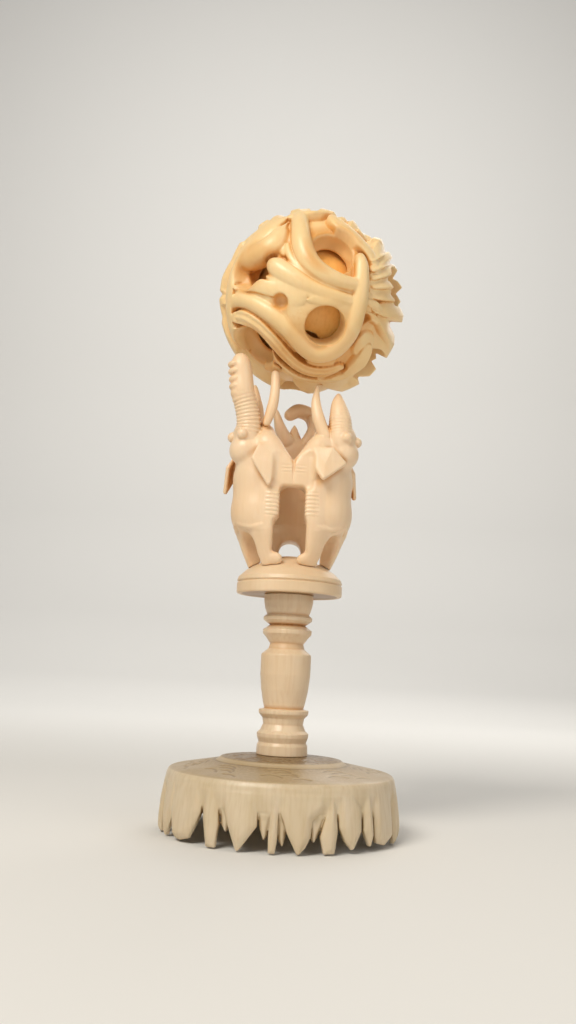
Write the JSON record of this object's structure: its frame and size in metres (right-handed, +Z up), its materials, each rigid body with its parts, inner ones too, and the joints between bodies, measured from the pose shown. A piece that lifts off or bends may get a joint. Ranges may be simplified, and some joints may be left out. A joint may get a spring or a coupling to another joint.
{
  "type": "puzzle ball on stand",
  "caption": "Carved openwork ball within a ball, held up by a group of elephants on a turned column, a round platform and a domed base with a toothed skirt.",
  "frame": {"origin": "centre of the circle the skirt stands on, on the surface below it", "axes": "+Z up along the column's axis, -Y towards the viewer of the picture, +X to the viewer's right"},
  "size_m": [0.0496, 0.0496, 0.1361],
  "materials": {
    "base": "polished bone, yellowed, with dirt in its engraved top",
    "column": "polished bone, cream",
    "platform": "polished bone, cream",
    "elephants": "polished bone, cream",
    "outer_ball": "polished bone, cream with darker hollows",
    "inner_ball": "polished bone, amber"
  },
  "bodies": {
    "root": {"base": "base", "column": "column", "platform": "platform", "elephants": "elephants", "outer_ball": "outer_ball", "inner_ball": "inner_ball"}
  },
  "joints": []
}
